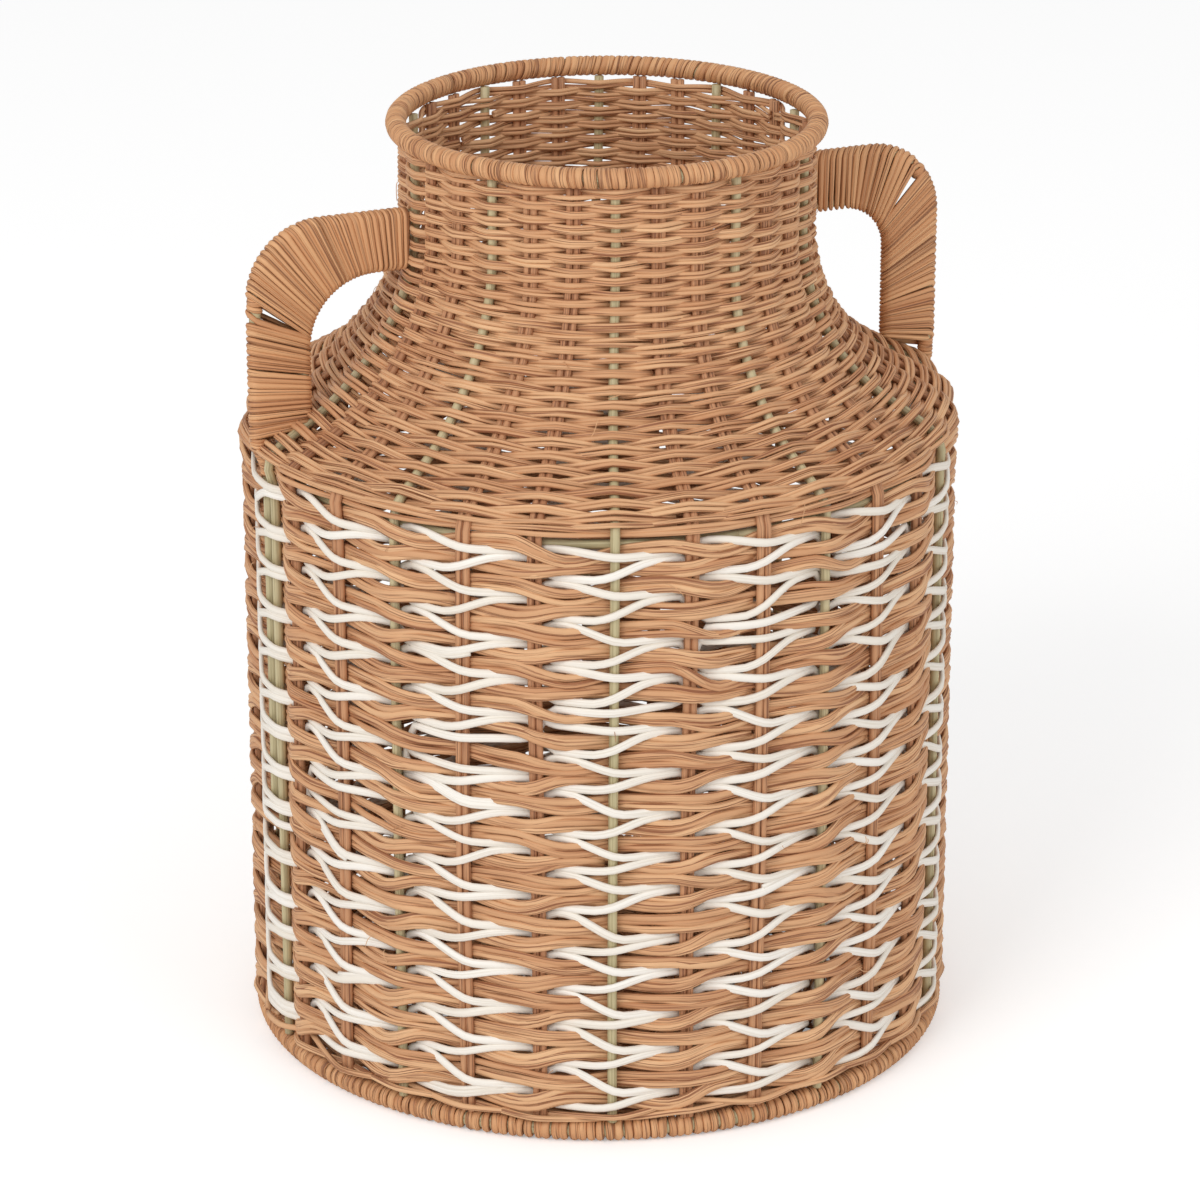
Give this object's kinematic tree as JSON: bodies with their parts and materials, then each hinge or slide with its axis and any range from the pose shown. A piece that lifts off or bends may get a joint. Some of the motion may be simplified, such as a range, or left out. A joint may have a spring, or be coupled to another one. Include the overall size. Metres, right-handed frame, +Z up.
{
  "type": "rattan vase",
  "caption": "Round woven rattan vase with a straight body, sloping shoulder, narrow open neck, wrapped rim and foot, and two wrapped handles.",
  "frame": {"origin": "on the vase's axis, on the floor that the wrapped foot ring stands on", "axes": "+Z up along the axis, X along the two handles, left handle at -X"},
  "size_m": [0.3056, 0.3, 0.394],
  "materials": {
    "natural_rattan": "bare split rattan, satin",
    "reed": "bare round reed, matt",
    "cane": "bare cane with its greenish skin, satin",
    "white_strand": "white painted reed, matt",
    "wrapping": "flat rattan peel wound edge to edge, satin"
  },
  "bodies": {
    "root": {"base_weave": "natural_rattan", "shoulder_weave": "natural_rattan", "shoulder_weave_upper": "natural_rattan", "throat_weave": "natural_rattan", "neck_weave": "natural_rattan", "neck_weave_upper": "natural_rattan", "body_row_01": "natural_rattan", "body_row_02": "natural_rattan", "body_row_03": "natural_rattan", "body_row_04": "natural_rattan", "body_row_05": "natural_rattan", "body_row_06": "natural_rattan", "body_row_07": "natural_rattan", "body_row_08": "natural_rattan", "body_row_09": "natural_rattan", "body_row_10": "natural_rattan", "body_row_11": "natural_rattan", "doubled_reed_01": "reed", "doubled_reed_02": "reed", "doubled_reed_03": "reed", "doubled_reed_04": "reed", "doubled_reed_05": "reed", "doubled_reed_06": "reed", "doubled_reed_07": "reed", "doubled_reed_08": "reed", "doubled_reed_09": "reed", "doubled_reed_10": "reed", "base_hoop": "cane", "shoulder_hoop": "cane", "rim_hoop": "cane", "upright_01": "cane", "upright_02": "cane", "upright_03": "cane", "upright_04": "cane", "upright_05": "cane", "upright_06": "cane", "upright_07": "cane", "upright_08": "cane", "upright_09": "cane", "upright_10": "cane", "left_handle_outer_rod": "cane", "left_handle_inner_rod": "cane", "right_handle_outer_rod": "cane", "right_handle_inner_rod": "cane", "white_strand_01": "white_strand", "white_strand_02": "white_strand", "white_strand_03": "white_strand", "white_strand_04": "white_strand", "white_strand_05": "white_strand", "white_strand_06": "white_strand", "white_strand_07": "white_strand", "white_strand_08": "white_strand", "white_strand_09": "white_strand", "white_strand_10": "white_strand", "white_strand_11": "white_strand", "base_wrap": "wrapping", "rim_wrap": "wrapping", "left_handle_wrap": "wrapping", "right_handle_wrap": "wrapping"}
  },
  "joints": []
}
